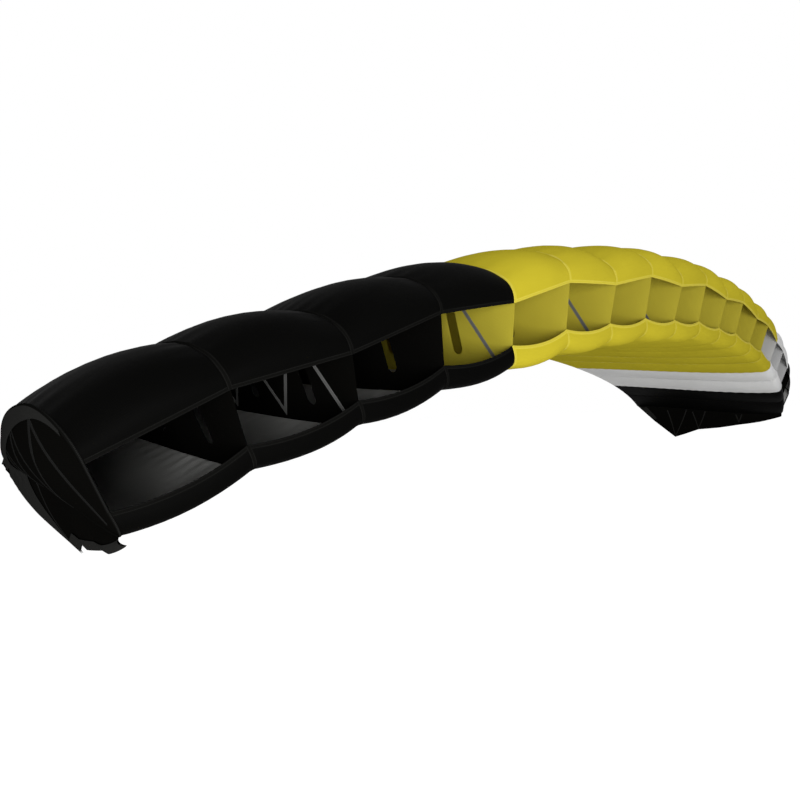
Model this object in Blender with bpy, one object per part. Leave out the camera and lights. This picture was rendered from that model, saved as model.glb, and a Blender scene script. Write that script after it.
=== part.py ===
"""Nine-cell ram-air wing, inflated and arched as it flies: skins, ribs, tapes and tip panels of thin cloth.

Metres, +Z up, span along X, nose towards -Y. Rib 0 is the tip at -X. The ribs stand on one circular arc,
each in the plane through the arc's axis, and every outline is drawn in that plane as (back, up) from the
lower lip of the inlet, for the middle of the wing, then scaled with the local chord.
"""

import bmesh
import bpy
import numpy as np
from mathutils.geometry import tessellate_polygon

# Driving dimensions.
CELLS = 9
HALF_CELLS = 2 * CELLS
HALF_CELL = 0.34  # spacing of the ribs along the arc
ARC_RADIUS = 7.53  # from the arc's axis to the lower lips
CHORD = 2.0  # lower lip to tail at the middle of the wing
HOLD_SETBACK = 0.65  # from the middle lower lip back to the origin
SKIN = 0.0022  # top and bottom skins
SHEET = 0.0012  # ribs, tapes, facings and hanging panels
GAP = 0.0004  # between neighbouring pieces
LIP_SWEEP = (0.18, 0.124)  # how far the tip's lips lie behind the middle: square term, fourth-power term
TAIL_SWEEP = (0.58, -0.443)  # how far the tip's tail lies ahead of the middle's
ODD_RISE_TOP = 0.036  # ribs with no lines ride further out on the arc than ribs that carry lines
ODD_RISE_BOTTOM = 0.009
TOP_BILLOW = 0.030  # how far the skins swell between two ribs
BOTTOM_BILLOW = 0.024
BILLOW_AT_LIP = 0.12  # share of the top's swelling that is left at the taut upper lip
BILLOW_GROWTH = 3  # how fast it grows behind the lip
BOTTOM_PUSH = (-0.2, -1.0)  # direction in which the bottom swells, as (back, up)
SHARP_EDGE = 50  # degrees

# Outline of a rib: handles of four Bezier curves, as (back, up).
TOP_NOSE = {"upper lip": (-0.053, 0.171), "lip pull": (-0.090, 0.270), "crown pull": (0.060, 0.375),
            "crown": (0.380, 0.385)}
TOP_REAR = {"crown": (0.380, 0.385), "crown pull": (0.900, 0.400), "tail pull": (1.550, 0.320),
            "tail": (CHORD, 0.115)}
CHIN = {"lower lip": (0.0, 0.0), "lip pull": (-0.012, -0.050), "chin pull": (0.0, -0.094),
        "chin": (0.070, -0.094)}
BELLY = {"chin": (0.070, -0.094), "chin pull": (0.450, -0.094), "tail pull": (1.300, 0.040),
         "tail": (CHORD, 0.115)}
TOP_STEPS = ((0.0, 0.16, 0.36, 0.6, 1.0), (0.22, 0.42, 0.62, 0.82, 1.0))
BOTTOM_STEPS = ((0.0, 0.5, 1.0), (0.2, 0.4, 0.6, 0.8, 1.0))
PANEL_STEPS = (0.0, 1 / 3, 2 / 3)  # columns of a skin across half a cell

# Crossports: share of the chord, width in metres, height as a share of the rib's height there.
PORTS = {"front": (0.157, 0.050, 0.50), "middle": (0.390, 0.048, 0.42), "rear": (0.620, 0.042, 0.36)}
SHORTEST_PORT = 1.3  # height for its width
PORT_LEVEL = 0.42  # height of a port's centre, as a share of the rib's height
PORT_END_SIDES = 3
RIB_END = 0.75  # how far a rib reaches into the wedge at the tail

# Tapes zigzag between the line points and the top of a load rib: share of the chord, which edge.
TAPE_PATH = {"line A": (0.05, "bottom"), "peak 1": (0.157, "top"), "line B": (0.28, "bottom"),
             "peak 2": (0.39, "top"), "line C": (0.51, "bottom"), "peak 3": (0.62, "top"),
             "line D": (0.74, "bottom")}
TAPE_WIDTH = 0.016
TAPE_MARGIN = 0.030  # from the middle of a tape's bend to the edge
STEEPEST_MITRE = 2.0

# The panel that hangs below each tip: its lower corners as (back, up), where the end lines pull.
STABILISER = {"line A": (0.010, -0.122), "line B": (0.510, -0.205), "line C": (1.030, -0.292),
              "line D": (1.340, -0.408)}
STABILISER_REAR = (1.700, -0.140)
FOOT_TAPE_WIDTH = 0.012  # tapes in a V on the inner face of the hanging panel, at lines B to D
FOOT_TAPE_MARGIN = 0.012
FOOT_TAPE_LEAN = (-0.28, 0.42)  # how far each arm leans forward and back for each metre up
FACING_FRONT = 0.0  # share of the chord where the tip facing starts
FACING_WIDTH = {"front": 0.030, "tail": 0.045, "rear": 0.060, "foot": 0.024}

CELL_COLOURS = ("black", "black", "yellow", "yellow", "yellow", "yellow", "yellow", "white", "black")
COLOURS = {"black": (0.006, 0.006, 0.006), "yellow": (0.40, 0.33, 0.025), "white": (0.55, 0.55, 0.54),
           "charcoal": (0.015, 0.015, 0.014), "grey_tape": (0.11, 0.11, 0.107)}
ROUGHNESS = 0.55


def clear_scene():
    for thing in list(bpy.data.objects):
        bpy.data.objects.remove(thing)


def cloth(name):
    """The fabric of one colour, made once."""
    found = bpy.data.materials.get(name)
    if found:
        return found
    made = bpy.data.materials.new(name)
    made.use_nodes = True
    shader = made.node_tree.nodes["Principled BSDF"]
    shader.inputs["Base Color"].default_value = (*COLOURS[name], 1.0)
    shader.inputs["Roughness"].default_value = ROUGHNESS
    shader.inputs["Metallic"].default_value = 0.0
    return made


def place(rib):
    """Where a rib stands, rib being any number from 0 to 18: its angle, the point at its lip, and its scale."""
    share = (rib - CELLS) / CELLS
    angle = (rib - CELLS) * HALF_CELL / ARC_RADIUS
    lip = LIP_SWEEP[0] * share**2 + LIP_SWEEP[1] * share**4
    tail = CHORD - TAIL_SWEEP[0] * share**2 - TAIL_SWEEP[1] * share**4
    point = np.array((np.sin(angle) * ARC_RADIUS, lip - HOLD_SETBACK, (np.cos(angle) - 1) * ARC_RADIUS))
    return angle, point, (tail - lip) / CHORD


def bezier(handles, steps):
    """Points of a cubic Bezier curve at the given steps."""
    s = np.array(steps)[:, None]
    a, b, c, d = (np.array(h) for h in handles.values())
    return (1 - s) ** 3 * a + 3 * (1 - s) ** 2 * s * b + 3 * (1 - s) * s**2 * c + s**3 * d


def outward(points, side):
    """Unit normals of an open line that runs from lip to tail, away from the inside of the rib."""
    along = np.gradient(points, axis=0)
    normals = side * np.stack((-along[:, 1], along[:, 0]), axis=1)
    return normals / np.linalg.norm(normals, axis=1, keepdims=True)


def edge_line(rib, edge):
    """The middle of the skin over a rib, from lip to tail, with the outward normals, unswollen."""
    front, rear, steps, side, rise = {
        "top": (TOP_NOSE, TOP_REAR, TOP_STEPS, 1, ODD_RISE_TOP),
        "bottom": (CHIN, BELLY, BOTTOM_STEPS, -1, ODD_RISE_BOTTOM),
    }[edge]
    line = np.vstack((bezier(front, steps[0]), bezier(rear, steps[1])))
    oddness = 1 - abs(rib % 2 - 1)
    to_tail = np.linspace(0, 1, len(line))
    line[:, 1] += rise * oddness * (1 - to_tail**2)
    line *= place(rib)[2]
    line[1:, 1] += side * (SKIN + GAP) / 2
    return line, outward(line, side)


def swollen_line(rib, edge):
    """The same line moved out by the swelling between two ribs: most in the middle, least at lip and tail."""
    line, normals = edge_line(rib, edge)
    across = 4 * (rib % 1) * (1 - rib % 1)
    to_tail = np.linspace(0, 1, len(line))
    if edge == "top":
        amount = TOP_BILLOW * np.minimum(1, BILLOW_AT_LIP + BILLOW_GROWTH * to_tail) * (1 - to_tail**3)
        direction = normals
    else:
        amount = BOTTOM_BILLOW * (1 - to_tail**3)
        direction = np.array(BOTTOM_PUSH)
    return line + (amount * across)[:, None] * direction, normals


def to_world(rib, flat):
    angle, point, _ = place(rib)
    up = np.array((np.sin(angle), 0, np.cos(angle)))
    return point + flat[:, :1] * np.array((0, 1, 0)) + flat[:, 1:] * up


def finish(name, points, faces, colour):
    """One closed object from points and faces, its faces turned out and shaded smooth."""
    mesh = bpy.data.meshes.new(name)
    mesh.from_pydata([tuple(p) for p in points], [], faces)
    shape = bmesh.new()
    shape.from_mesh(mesh)
    bmesh.ops.recalc_face_normals(shape, faces=shape.faces)
    shape.to_mesh(mesh)
    shape.free()
    mesh.shade_smooth()
    mesh.set_sharp_from_angle(angle=np.radians(SHARP_EDGE))
    mesh.materials.append(cloth(colour))
    made = bpy.data.objects.new(name, mesh)
    bpy.context.scene.collection.objects.link(made)
    return made


def skin(cell, edge):
    """A cell's top or bottom panel: a sheet swollen in two lobes, over one load rib to the next."""
    first = 2 * cell
    columns = [first + step + half for half in (0, 1) for step in PANEL_STEPS] + [first + 2]
    inset = GAP / 2 / HALF_CELL
    overhang = SHEET / 2 / HALF_CELL
    columns[0] += -overhang if first == 0 else inset
    columns[-1] -= -overhang if first + 2 == HALF_CELLS else inset
    outer, inner = [], []
    for rib in columns:
        line, normals = swollen_line(min(max(rib, 0), HALF_CELLS), edge)
        outer.append(to_world(rib, line + normals * SKIN / 2))
        inner.append(to_world(rib, line - normals * SKIN / 2))
    rows = len(outer[0])
    points = np.vstack(outer + inner)
    back = len(columns) * rows
    faces = []
    for i in range(len(columns) - 1):
        for j in range(rows - 1):
            a, b, c, d = i * rows + j, i * rows + j + 1, (i + 1) * rows + j + 1, (i + 1) * rows + j
            # Both faces split along one diagonal, or a twisted quad's two walls would pass through each other.
            for corners in ((a, b, c), (a, c, d)):
                faces += [corners, tuple(k + back for k in reversed(corners))]
    rim = [i * rows for i in range(len(columns))]
    rim += [(len(columns) - 1) * rows + j for j in range(1, rows)]
    rim += [i * rows + rows - 1 for i in reversed(range(len(columns) - 1))]
    rim += [j for j in reversed(range(1, rows - 1))]
    faces += [(a, b, b + back, a + back) for a, b in zip(rim, rim[1:] + rim[:1])]
    finish(f"{edge}_skin_{cell + 1}", points, faces, CELL_COLOURS[cell])


def plate(name, rib, rings, colour, side=0.0):
    """A flat sheet standing in a rib's plane, side metres off it. The first ring is its outline, others holes."""
    corners = [(0.0, back, up) for ring in rings for back, up in ring]
    count = len(corners)
    caps = tessellate_polygon([[(0.0, back, up) for back, up in ring] for ring in rings])
    points = [(side - SHEET / 2, y, z) for _, y, z in corners]
    points += [(side + SHEET / 2, y, z) for _, y, z in corners]
    faces = [tuple(cap) for cap in caps] + [tuple(k + count for k in reversed(cap)) for cap in caps]
    start = 0
    for ring in rings:
        loop = list(range(start, start + len(ring)))
        faces += [(a, b, b + count, a + count) for a, b in zip(loop, loop[1:] + loop[:1])]
        start += len(ring)
    made = finish(name, points, faces, colour)
    angle, point, _ = place(rib)
    made.location = point
    made.rotation_euler = (0.0, angle, 0.0)
    return made


def inside_line(rib, edge, margin):
    """A rib's own edge, margin inside the middle of the skin, without its last point at the tail."""
    line, normals = edge_line(rib, edge)
    return (line - normals * margin)[:-1]


def height_at(line, back):
    """Height of a line at a distance back. Only its part behind the nose is read."""
    after = line[np.argmin(line[:, 0]):]
    return float(np.interp(back, after[:, 0], after[:, 1]))


def slot(back, level, width, height):
    """A port: an upright slot with round ends."""
    radius = width / 2
    reach = height / 2 - radius
    turn = np.linspace(0, np.pi, PORT_END_SIDES + 1)
    top = np.stack((back + radius * np.cos(turn), level + reach + radius * np.sin(turn)), axis=1)
    bottom = np.stack((back - radius * np.cos(turn), level - reach - radius * np.sin(turn)), axis=1)
    return np.vstack((top, bottom))


def rib_outline(rib):
    """From the upper lip over the top to near the tail, and back under to the lower lip."""
    margin = SKIN / 2 + GAP
    top = inside_line(rib, "top", margin)
    bottom = inside_line(rib, "bottom", margin)
    tail = edge_line(rib, "top")[0][-1]
    tip = RIB_END * tail + (1 - RIB_END) * (top[-1] + bottom[-1]) / 2
    return np.vstack((top, tip, bottom[::-1]))


def is_load(rib):
    return rib % 2 == 0


def is_tip(rib):
    return rib in (0, HALF_CELLS)


def rib_plate(rib):
    top = inside_line(rib, "top", 0)
    bottom = inside_line(rib, "bottom", 0)
    chord = CHORD * place(rib)[2]
    rings = [rib_outline(rib)]
    for share, width, part in () if is_tip(rib) else PORTS.values():
        low = height_at(bottom, share * chord)
        tall = height_at(top, share * chord) - low
        height = max(tall * part, width * SHORTEST_PORT)
        rings.append(slot(share * chord, low + tall * PORT_LEVEL, width, height))
    colour = CELL_COLOURS[min(rib // 2, CELLS - 1)]
    if rib == HALF_CELLS - 2:
        colour = "white"
    plate(f"rib_{rib:02d}", rib, rings, colour)


def stabiliser_line(scale):
    """The lower edge of a tip's hanging panel, from line A back to line D."""
    return np.array(list(STABILISER.values())) * scale


def strip(path, width):
    """Outline of a tape of even width along a bent path, its corners mitred."""
    along = np.diff(path, axis=0)
    normals = np.stack((-along[:, 1], along[:, 0]), axis=1) / np.linalg.norm(along, axis=1, keepdims=True)
    mitres = np.vstack((normals[:1], normals[:-1] + normals[1:], normals[-1:]))
    mitres[1:-1] *= (2 / (mitres[1:-1] ** 2).sum(axis=1))[:, None]
    mitres *= np.minimum(1, STEEPEST_MITRE / np.linalg.norm(mitres, axis=1, keepdims=True))
    return np.vstack((path + mitres * width / 2, (path - mitres * width / 2)[::-1]))


def tape(rib):
    """The zigzag tape on the left of a load rib. On a tip it lies outside, and reaches line D's corner."""
    top = inside_line(rib, "top", TAPE_MARGIN)
    bottom = inside_line(rib, "bottom", TAPE_MARGIN)
    scale = place(rib)[2]
    path = []
    for share, edge in TAPE_PATH.values():
        back = share * CHORD * scale
        path.append((back, height_at(top if edge == "top" else bottom, back)))
    if is_tip(rib):
        path[-1] = stabiliser_line(scale)[-1] + np.array((-TAPE_MARGIN / 3, TAPE_MARGIN))
    side = 1 if rib == HALF_CELLS else -1
    plate(f"tape_{rib:02d}", rib, [strip(np.array(path), TAPE_WIDTH)], "grey_tape", side * (SHEET + GAP))


def foot_tapes(rib):
    """Short tapes in a V, from the hanging panel's corners up to the bottom skin, on the panel's inner face."""
    scale = place(rib)[2]
    bottom, _ = edge_line(rib, "bottom")
    side = -1 if rib == HALF_CELLS else 1
    for (name, _), corner in list(zip(STABILISER.items(), stabiliser_line(scale)))[1:]:
        foot = corner + np.array((0.0, FOOT_TAPE_MARGIN))
        room = height_at(bottom, corner[0]) - SKIN - FOOT_TAPE_MARGIN - foot[1]
        path = np.array([foot + room * np.array((FOOT_TAPE_LEAN[0], 1)), foot,
                         foot + room * np.array((FOOT_TAPE_LEAN[1], 1))])
        plate(f"foot_tape_{rib:02d}_{name[-1]}", rib, [strip(path, FOOT_TAPE_WIDTH)], "grey_tape",
              side * (SHEET + GAP))


def stabiliser(rib):
    scale = place(rib)[2]
    line, normals = edge_line(rib, "bottom")
    seam = line + normals * (SKIN / 2 + GAP)
    chin = 1 + int(np.argmin(line[:, 0]))
    rear = np.array(STABILISER_REAR) * scale
    outline = np.vstack((stabiliser_line(scale), rear, seam[:chin - 1:-1]))
    plate(f"stabiliser_{rib:02d}", rib, [outline], "black")


def facing(rib):
    """The lighter band along the edge of a tip, outside its tape: over the top, down the rear, along the foot."""
    scale = place(rib)[2]
    top = edge_line(rib, "top")[0]
    top = top[top[:, 0] > FACING_FRONT * CHORD * scale]
    rear = np.array([STABILISER_REAR]) * scale
    foot = stabiliser_line(scale)[::-1]
    outer = np.vstack((top, rear, foot))
    keys = (0, len(top) - 1, len(top), len(outer) - 1)
    widths = np.interp(range(len(outer)), keys, list(FACING_WIDTH.values()))
    along = np.gradient(outer, axis=0)
    normals = np.stack((along[:, 1], -along[:, 0]), axis=1)
    normals /= np.linalg.norm(normals, axis=1, keepdims=True)
    inner = outer + normals * widths[:, None]
    side = 1 if rib == HALF_CELLS else -1
    plate(f"facing_{rib:02d}", rib, [np.vstack((outer, inner[::-1]))], "charcoal", 2 * side * (SHEET + GAP))


def build():
    clear_scene()
    for cell in range(CELLS):
        skin(cell, "top")
        skin(cell, "bottom")
    for rib in range(HALF_CELLS + 1):
        rib_plate(rib)
        if is_load(rib):
            tape(rib)
    for tip in (0, HALF_CELLS):
        stabiliser(tip)
        foot_tapes(tip)
        facing(tip)


build()
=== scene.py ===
# %% [markdown]
# A nine-cell ram-air wing, filled with air. Each cell is a pair of lobes of thin coated nylon, held down
# by ribs, open at the nose and shut at the tail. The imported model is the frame: it gives every piece its
# place, and the cloth made here takes over from its plain solids one node at a time.

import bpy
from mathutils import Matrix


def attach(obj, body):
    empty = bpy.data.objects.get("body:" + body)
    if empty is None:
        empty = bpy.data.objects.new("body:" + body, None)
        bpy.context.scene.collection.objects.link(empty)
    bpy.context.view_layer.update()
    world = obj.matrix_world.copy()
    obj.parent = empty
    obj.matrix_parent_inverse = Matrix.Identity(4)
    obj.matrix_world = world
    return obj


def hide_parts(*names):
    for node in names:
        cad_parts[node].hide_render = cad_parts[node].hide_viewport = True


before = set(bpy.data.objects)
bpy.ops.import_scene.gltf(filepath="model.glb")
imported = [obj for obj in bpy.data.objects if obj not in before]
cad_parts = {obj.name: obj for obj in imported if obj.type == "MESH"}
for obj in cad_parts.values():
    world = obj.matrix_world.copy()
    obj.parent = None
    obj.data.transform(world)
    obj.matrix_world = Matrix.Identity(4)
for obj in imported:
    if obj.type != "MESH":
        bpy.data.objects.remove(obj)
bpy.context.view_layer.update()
print("nodes in the frame:", len(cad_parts))

import bpy
import numpy as np
from mathutils import Matrix
from mathutils.geometry import tessellate_polygon

# %% [markdown]
# The sizes are the solid's own. The wing stands on one circular arc, seen from the front, and each rib
# stands in the plane through the arc's axis. A rib's outline is four Bezier curves, drawn once for the
# middle of the wing as (back, up) from the lower lip, and scaled with the chord. That keeps the whole
# wing to about thirty numbers, where a traced outline for each rib would need hundreds.

# %% Sizes of the wing
CELLS = 9
RIBS = 2 * CELLS  # the last rib's number: even ribs carry lines, odd ribs stand free
HALF_CELL = 0.34
ARC_RADIUS = 7.53
CHORD = 2.0
HOLD_SETBACK = 0.65  # how far behind the middle's lower lip the origin is
LIP_SWEEP = (0.18, 0.124)
TAIL_SWEEP = (0.58, -0.443)
ODD_RISE = {"top": 0.036, "bottom": 0.009}
SWELL = {"top": 0.034, "bottom": 0.024}  # how far a lobe stands out between two ribs
CLOTH = 0.0006
TAPE_THICK = 0.0010

CROWN = (0.380, 0.385)
CHIN = (0.070, -0.094)
TAIL = (CHORD, 0.115)
NOSE = {"top": ((-0.053, 0.171), (-0.090, 0.270), (0.060, 0.375), CROWN),
        "bottom": ((0.0, 0.0), (-0.012, -0.050), (0.0, -0.094), CHIN)}
REAR = {"top": (CROWN, (0.900, 0.400), (1.550, 0.320), TAIL),
        "bottom": (CHIN, (0.450, -0.094), (1.300, 0.040), TAIL)}
NOSE_SHARE = {"top": 4 / 9, "bottom": 2 / 7}  # how much of the way to the tail the nose curve counts for
NOSE_POWER = 0.75
OUT = {"top": 1, "bottom": -1}

CELL_COLOURS = ("black", "black", "yellow", "yellow", "yellow", "yellow", "yellow", "white", "black")


# %% [markdown]
# The skins and seams come from one function of two numbers: rib, which runs from 0 at one tip to
# 18 at the other and may be any fraction, and t, which runs from 0 at the lip through 1 at the crown or
# chin to 2 at the tail. Between two ribs the air pushes the cloth out in a parabola. Near a seam the
# sewing gathers it into short puckers, which die away within a hand's width.

# %% Where a rib stands, and its outline
def place(rib):
    """Angle on the arc, set-back of the lower lip, and scale of the chord. The lip and the tail sweep with
    the square and the fourth power of the distance from the middle."""
    share = (rib - CELLS) / CELLS
    lip = LIP_SWEEP[0] * share**2 + LIP_SWEEP[1] * share**4
    tail = CHORD - TAIL_SWEEP[0] * share**2 - TAIL_SWEEP[1] * share**4
    return (rib - CELLS) * HALF_CELL / ARC_RADIUS, lip - HOLD_SETBACK, (tail - lip) / CHORD


def bezier(handles, s):
    """Cubic Bezier: each handle times its share of s, added up."""
    a, b, c, d = (np.array(h) for h in handles)
    s = s[..., None]
    return (1 - s) ** 3 * a + 3 * (1 - s) ** 2 * s * b + 3 * (1 - s) * s**2 * c + s**3 * d


def to_tail(edge, t):
    """0 at the lip and 1 at the tail: the nose counts for NOSE_SHARE of it, as a power of t, and the rear for
    the rest, evenly."""
    nose = NOSE_SHARE[edge]
    return np.where(t < 1, nose * np.minimum(t, 1) ** NOSE_POWER, nose + (1 - nose) * (t - 1))


def rib_line(edge, rib, t):
    """The seam over a rib as (back, up), and its outward normals. Odd ribs ride further out."""
    rib, t = np.broadcast_arrays(rib, t)
    front = bezier(NOSE[edge], np.minimum(t, 1))
    rear = bezier(REAR[edge], np.maximum(t - 1, 0))
    line = np.where((t < 1)[..., None], front, rear)
    oddness = 1 - np.abs(rib % 2 - 1)
    line[..., 1] += ODD_RISE[edge] * oddness * (1 - to_tail(edge, t) ** 2)
    line *= place(rib)[2][..., None]
    along = np.gradient(line, axis=-2)
    normal = OUT[edge] * np.stack((-along[..., 1], along[..., 0]), axis=-1)
    return line, normal / np.linalg.norm(normal, axis=-1, keepdims=True)


def stand(rib, flat, out=0.0):
    """From (back, up) in a rib's plane to the wing's frame, out metres off the plane towards +X."""
    angle, setback, _ = place(rib)
    radius = ARC_RADIUS + flat[..., 1]
    return np.stack((np.sin(angle) * radius + np.cos(angle) * out, setback + flat[..., 0],
                     np.cos(angle) * radius - np.sin(angle) * out - ARC_RADIUS), axis=-1)


# %% The swollen skin
LIP_HOLD = 0.88  # how much of the swelling the taut upper lip takes away
LIP_REACH = 0.085
BOTTOM_PUSH = (-0.2, -1.0)  # the way a bottom lobe swells, as (back, up)
PUCKER = 0.0022
PUCKER_WAVE = 0.085
PUCKER_REACH = 0.045
SEAM_GRIP = 0.007
SEAM_PHASE = 2.4  # radians between the puckers on the two sides of a seam
DRIFT, DRIFT_TURN = 1.6, 7.3  # how far the puckers stray from even spacing, and radians a metre
RIPPLE, RIPPLE_TURN = 0.0011, 11
RIPPLE_LOBE, RIPPLE_SLANT = 3.1, 4  # a ripple's phase from lobe to lobe, and across one
LIP_FADE, TAIL_FADE = 0.10, 0.04  # metres from the lip, and share of the way to the tail
TIP_FLARE = 0.030  # how far the tip's tail leans outwards


def skin_points(edge, rib, t):
    """A skin's middle surface: the seam line, plus the swelling 4w(1-w) between ribs, plus puckers that are
    a sine along the seam times a fading share of the distance from it, plus a slow ripple on each lobe."""
    line, normal = rib_line(edge, rib, t)
    rib, t = np.broadcast_arrays(rib, t)
    tail = to_tail(edge, t)
    part = rib % 1
    across = 4 * part * (1 - part)
    full = 1 - tail**3
    step = np.linalg.norm(np.diff(line, axis=-2, prepend=line[..., :1, :]), axis=-1)
    length = np.cumsum(step, axis=-1)
    if edge == "top":
        swell = SWELL[edge] * full * (1 - LIP_HOLD * np.exp(-((length / LIP_REACH) ** 2)))
        push = normal
    else:
        swell = SWELL[edge] * full
        push = np.array(BOTTOM_PUSH)
    off_seam = np.minimum(part, 1 - part) * HALF_CELL
    seam = np.round(rib) * 2 + (part > 0.5)
    drift = DRIFT * np.sin(length * DRIFT_TURN + seam)
    wave = np.sin(2 * np.pi * length / PUCKER_WAVE + SEAM_PHASE * seam + drift)
    grip = np.exp(-off_seam / PUCKER_REACH) * (1 - np.exp(-off_seam / SEAM_GRIP))
    fade = np.clip(length / LIP_FADE, 0, 1) * np.clip((1 - tail) / TAIL_FADE, 0, 1)
    phase = length * RIPPLE_TURN + RIPPLE_LOBE * np.floor(rib) + RIPPLE_SLANT * part
    ripple = RIPPLE * across * np.sin(phase) * fade
    moved = line + (swell * across)[..., None] * push
    moved = moved + (PUCKER * wave * grip * fade + ripple)[..., None] * normal
    near_tip = np.maximum(0, 1 - np.minimum(rib, RIBS - rib)) ** 2
    lean = TIP_FLARE * near_tip * (line[..., 0] / CHORD) ** 2 * np.sign(rib - CELLS)
    return stand(rib, moved, lean)


print("lobes swell by", SWELL["top"], "above and", SWELL["bottom"], "below")


# %% [markdown]
# Cloth is two faces and a rim. The outer and inner face keep their own material: the coated inside of the
# fabric is a little paler than the outside, and the black and yellow linings are painted much lighter still,
# as painted light that stands in for the light hardly reaching into the shaded cells. UVs are in metres, so
# that a five-millimetre grid in the weave is five millimetres on every panel.

# %% From a grid of points to a closed sheet
SHARP_FROM = np.radians(60)
TINY = 1e-9
LEAST_SIDE = 0.011  # the smallest side and the smallest share of its box that a flat cut is given
LEAST_SHARE = 0.31


def new_piece(name, points, faces, uv, materials, index=None):
    """One object at the origin from points, faces and a UV for each point."""
    mesh = bpy.data.meshes.new(name)
    mesh.from_pydata(points.tolist(), [], faces)
    corner = np.empty(len(mesh.loops), int)
    mesh.loops.foreach_get("vertex_index", corner)
    layer = mesh.uv_layers.new(name="cloth")
    layer.data.foreach_set("uv", uv[corner].astype(np.float32).ravel())
    for material in materials:
        mesh.materials.append(material)
    if index is not None:
        mesh.polygons.foreach_set("material_index", index)
    mesh.shade_smooth()
    mesh.set_sharp_from_angle(angle=SHARP_FROM)
    made = bpy.data.objects.new(name, mesh)
    bpy.context.scene.collection.objects.link(made)
    return made


def sheet_from_grid(name, middle, thick, materials, flip=False, uv=None, normal=None):
    """A closed sheet: the grid moved half the thickness along its normals, and half against them. Without
    UVs of its own, it takes the girth a third of the way along and the length of the middle line."""
    if flip:
        middle = middle[::-1]
        uv = None if uv is None else uv[::-1]
    n, m, _ = middle.shape
    if normal is None:
        normal = np.cross(np.gradient(middle, axis=0), np.gradient(middle, axis=1))
        normal /= np.maximum(np.linalg.norm(normal, axis=-1, keepdims=True), TINY)
    if uv is None:
        across = np.cumsum(np.linalg.norm(np.diff(middle, axis=0, prepend=middle[:1]), axis=-1), axis=0)
        along = np.cumsum(np.linalg.norm(np.diff(middle, axis=1, prepend=middle[:, :1]), axis=-1), axis=1)
        uv = np.stack((np.broadcast_to(across[:, m // 3:m // 3 + 1], (n, m)),
                       np.broadcast_to(along[n // 2:n // 2 + 1], (n, m))), axis=-1)
    shift = normal * thick / 2
    points = np.vstack(((middle + shift).reshape(-1, 3), (middle - shift).reshape(-1, 3)))
    spot = np.arange(n * m).reshape(n, m)
    a, b, c, d = spot[:-1, :-1], spot[1:, :-1], spot[1:, 1:], spot[:-1, 1:]
    outer = np.stack((a, b, c, d), axis=-1).reshape(-1, 4)
    inner = np.stack((a, d, c, b), axis=-1).reshape(-1, 4) + n * m
    loop = np.concatenate((spot[:-1, 0], spot[-1, :-1], spot[1:, -1][::-1], spot[0, 1:][::-1]))
    after = np.roll(loop, -1)
    rim = np.stack((after, loop, loop + n * m, after + n * m), axis=-1)
    faces = np.vstack((outer, inner, rim))
    index = np.repeat((0, len(materials) - 1, 0), (len(outer), len(inner), len(rim)))
    both = np.vstack((uv.reshape(-1, 2), uv.reshape(-1, 2)))
    return new_piece(name, points, faces.tolist(), both, materials, index.astype(np.int32))


def flat_size(middle):
    """Greatest girth across and length along of a grid, and its area, for the cut of the cloth."""
    across = np.linalg.norm(np.diff(middle, axis=0), axis=-1).sum(axis=0).max()
    along = np.linalg.norm(np.diff(middle, axis=1), axis=-1).sum(axis=1).max()
    sides = np.cross(middle[1:, :-1] - middle[:-1, :-1], middle[:-1, 1:] - middle[:-1, :-1])
    return (float(across), float(along)), float(np.linalg.norm(sides, axis=-1).sum())


def within_box(area, width, length):
    """The area of a flat cut, kept between the least share of its box and the whole of it."""
    return min(max(area, LEAST_SHARE * width * length), width * length)


def declare(middle):
    """Works out what a sheet was cut to before it was sewn in: its girth, length and area, which are then
    left unused.
    """
    (width, length), area = flat_size(middle)
    width, length = max(width, LEAST_SIDE), max(length, LEAST_SIDE)
    area = within_box(area, width, length)


# %% [markdown]
# Ripstop nylon is a plain weave with a thicker thread every five millimetres, coated on one side. The
# finish has four layers: the colour, a little lighter along the thick threads; a slow change of shade,
# because no two metres of cloth lie the same; a fine bump for the threads and a broad one for creases; and a
# share of light that passes through, which makes the yellow and white cells glow from inside.

# %% Cloth finishes
GRID = 0.005
THREAD_SIDE = (0.02, 0.11)  # where a thick thread's side starts and ends, as shares of a square
THREAD_SHARE = 0.5
SHADE = (2.3, 3.0)  # scale and detail of the slow change of shade
SHADE_RANGE = (0.3, 0.7)
SHADE_DARK = 0.90
CREASE = (13.0, 4.0)  # scale and detail of the creases
CREASE_BUMP = (0.006, 0.28)  # depth in metres and strength
THREAD_BUMP = (0.0003, 0.35)


def node(tree, kind, **settings):
    made = tree.nodes.new(kind)
    for key, value in settings.items():
        setattr(made, key, value)
    return made


def maths(tree, operation, first, second=None):
    """One Math node, its inputs a socket or a number."""
    made = node(tree, "ShaderNodeMath", operation=operation)
    for socket, value in zip(made.inputs, (first, second)):
        if isinstance(value, (int, float)):
            socket.default_value = value
        elif value is not None:
            tree.links.new(value, socket)
    return made.outputs[0]


def zigzag(tree, value, step):
    """Rises from 0 to a half and falls back to 0 once every step metres."""
    return maths(tree, "PINGPONG", maths(tree, "DIVIDE", value, step), 0.5)


def ramp_of(tree, value, low, high, start=0.0, end=1.0):
    """A smooth step from low to high as value goes from start to end."""
    made = node(tree, "ShaderNodeMapRange", interpolation_type="SMOOTHSTEP")
    for name, number in (("From Min", start), ("From Max", end), ("To Min", low), ("To Max", high)):
        made.inputs[name].default_value = number
    tree.links.new(value, made.inputs["Value"])
    return made.outputs["Result"]


def mix_colour(tree, share, first, second):
    """Mixes two colours, each a socket or a colour, by a socket's share."""
    made = node(tree, "ShaderNodeMix", data_type="RGBA")
    tree.links.new(share, made.inputs["Factor"])
    for socket, value in ((made.inputs[6], first), (made.inputs[7], second)):
        if isinstance(value, tuple):
            socket.default_value = (*value, 1.0)
        else:
            tree.links.new(value, socket)
    return made.outputs[2]


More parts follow.
